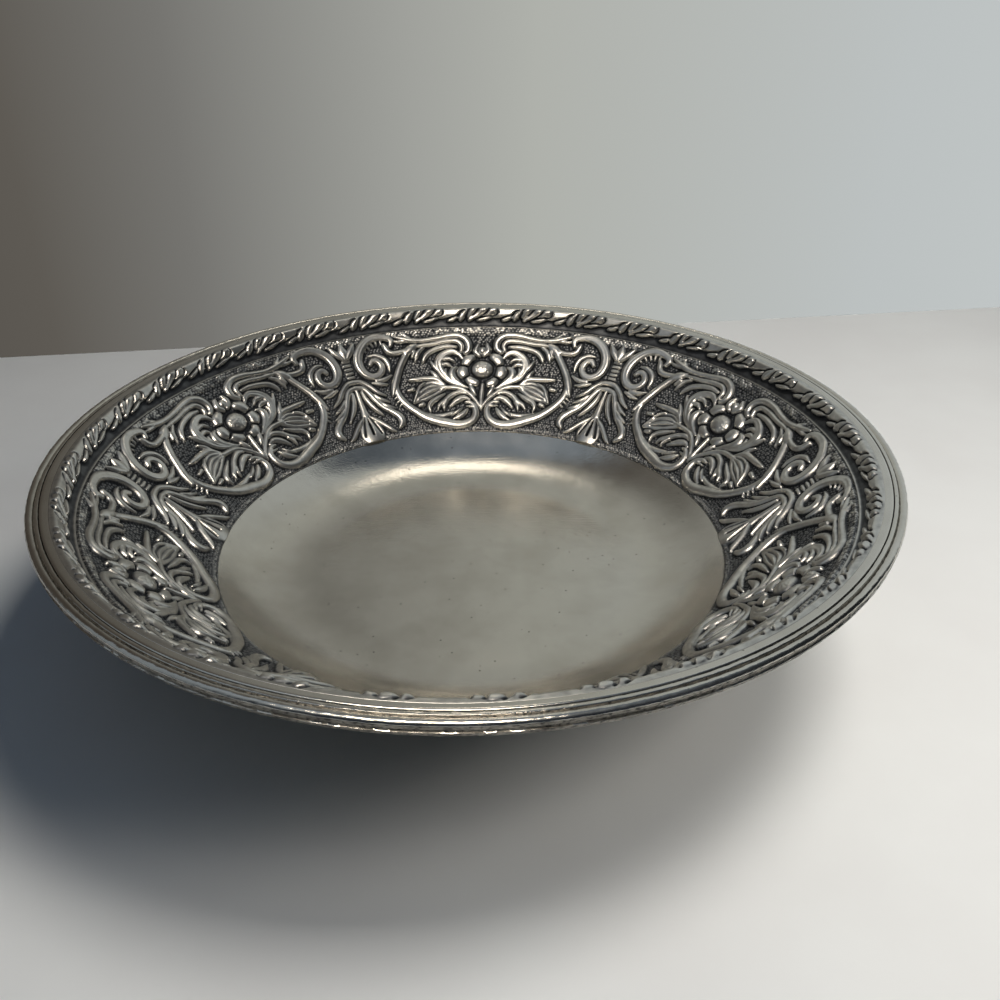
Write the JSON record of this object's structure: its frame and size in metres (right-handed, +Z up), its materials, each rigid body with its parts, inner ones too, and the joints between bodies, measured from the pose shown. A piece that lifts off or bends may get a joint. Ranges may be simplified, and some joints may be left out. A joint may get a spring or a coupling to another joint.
{
  "type": "metal serving bowl",
  "caption": "Round footed metal serving bowl with a plain well, a sloping band of raised scrolls and flowers, a leaf border and a beaded rim.",
  "frame": {"origin": "centre of the circle that the foot ring stands on, at table height", "axes": "+Z up through the middle of the bowl; the middle of one flower panel lies at +Y, the far side in the picture"},
  "size_m": [0.33, 0.33, 0.08],
  "materials": {
    "polished_metal": "buffed satin",
    "antiqued_metal": "dark patina, bright high points",
    "cast_metal": "as cast, rubbed bright"
  },
  "bodies": {
    "root": {"foot_ring": "cast_metal", "well": "polished_metal", "scroll_band": "antiqued_metal", "leaf_border": "antiqued_metal", "rim_flange": "polished_metal", "rim_edge": "cast_metal"}
  },
  "joints": []
}
